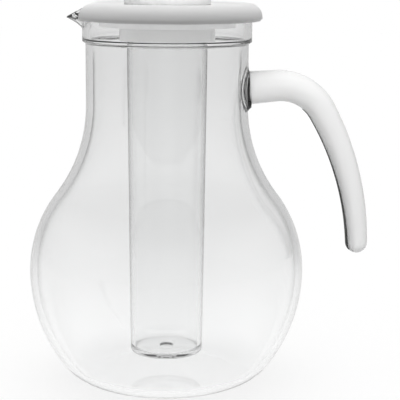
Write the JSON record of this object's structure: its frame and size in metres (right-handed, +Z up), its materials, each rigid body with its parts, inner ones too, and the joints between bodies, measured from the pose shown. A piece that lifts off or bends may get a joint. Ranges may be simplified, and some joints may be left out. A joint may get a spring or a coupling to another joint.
{
  "type": "pitcher with ice core",
  "caption": "Clear bulb-shaped pitcher with a beak, an open-ended white handle, a white lid and a screw-in clear tube for ice.",
  "frame": {"origin": "centre of the flat base, on the surface that the pitcher stands on", "axes": "+Z up along the pitcher's axis, -X towards the pouring beak, +X towards the handle, Y across"},
  "size_m": [0.2095, 0.1694, 0.2466],
  "materials": {
    "clear_body": "polished clear, moulded",
    "clear_handle": "polished clear, moulded",
    "white_handle": "glossy white, moulded",
    "white_lid": "satin to glossy white, moulded",
    "white_knob": "satin to glossy white, moulded",
    "clear_tube": "polished clear, moulded",
    "seal": "translucent silicone"
  },
  "bodies": {
    "pitcher": {"pitcher_body": "clear_body", "handle_core": "clear_handle", "handle_cover": "white_handle"},
    "lid": {"lid": "white_lid", "lid_knob": "white_knob"},
    "seal": {"tube_seal": "seal"},
    "tube": {"ice_tube": "clear_tube"}
  },
  "joints": [
    {"name": "lid_lift", "type": "slide", "parent": "pitcher", "child": "lid", "axis": [0, 0, 1], "range_m": [0, 0.22]},
    {"name": "tube_turn", "type": "hinge", "parent": "lid", "child": "seal", "pos_m": [0, 0, 0.2296], "axis": [0, 0, -1], "range_deg": [0, 900]},
    {"name": "tube_drop", "type": "slide", "parent": "seal", "child": "tube", "axis": [0, 0, -1], "range_m": [0, 0.01]}
  ],
  "couplings": [
    {"joint": "tube_drop", "follows": "tube_turn", "m_per_rad": 0.00063662}
  ]
}
